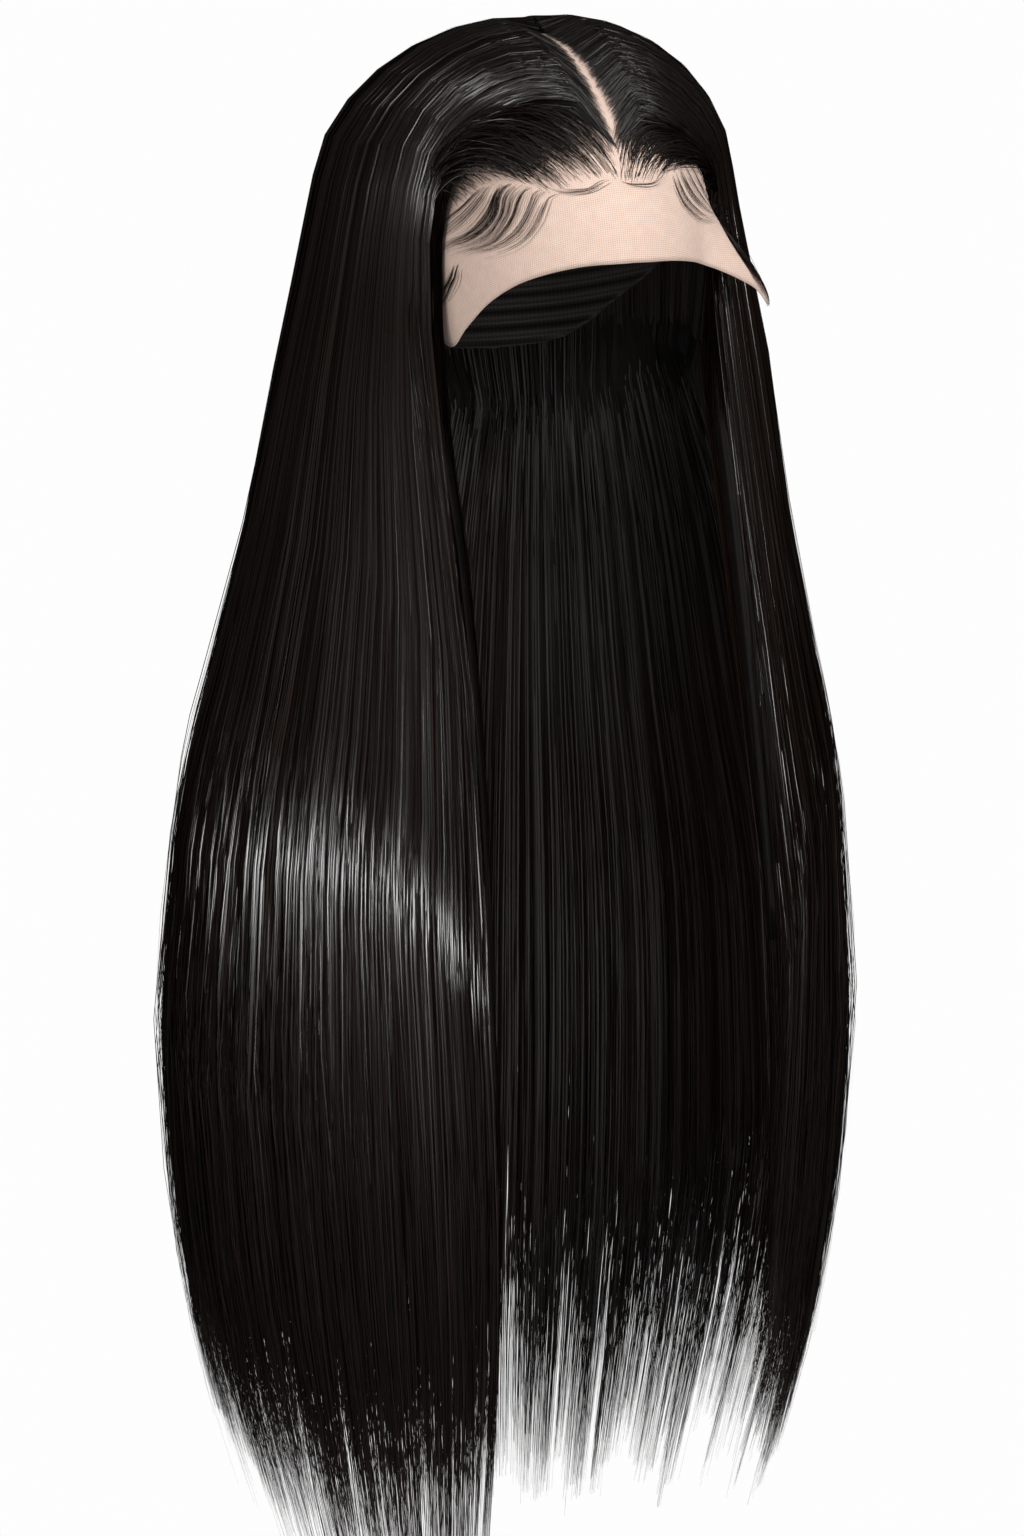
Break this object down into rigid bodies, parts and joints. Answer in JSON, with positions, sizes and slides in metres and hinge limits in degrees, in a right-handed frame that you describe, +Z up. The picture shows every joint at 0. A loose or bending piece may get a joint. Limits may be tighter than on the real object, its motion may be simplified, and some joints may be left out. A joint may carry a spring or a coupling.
{
  "type": "lace front wig",
  "caption": "Very long straight dark brown wig with a centre part, a nude lace front from ear to ear and a dark net cap, open below for the wearer's head.",
  "frame": {"origin": "inside of the crown, where the cap sits on the top of a head", "axes": "+Z up along the hanging hair, -Y towards the front of the face, -X to the wearer's right"},
  "size_m": [0.4123, 0.2335, 0.8753],
  "materials": {
    "nude_lace": "fine translucent nude lace net",
    "dark_net": "matt dark stretch net",
    "dark_hair": "glossy straight dark brown hair"
  },
  "bodies": {
    "root": {"lace_front": "nude_lace", "cap": "dark_net", "hair_right_front": "dark_hair", "hair_right_side": "dark_hair", "hair_right_back": "dark_hair", "hair_left_front": "dark_hair", "hair_left_side": "dark_hair", "hair_left_back": "dark_hair"}
  },
  "joints": []
}
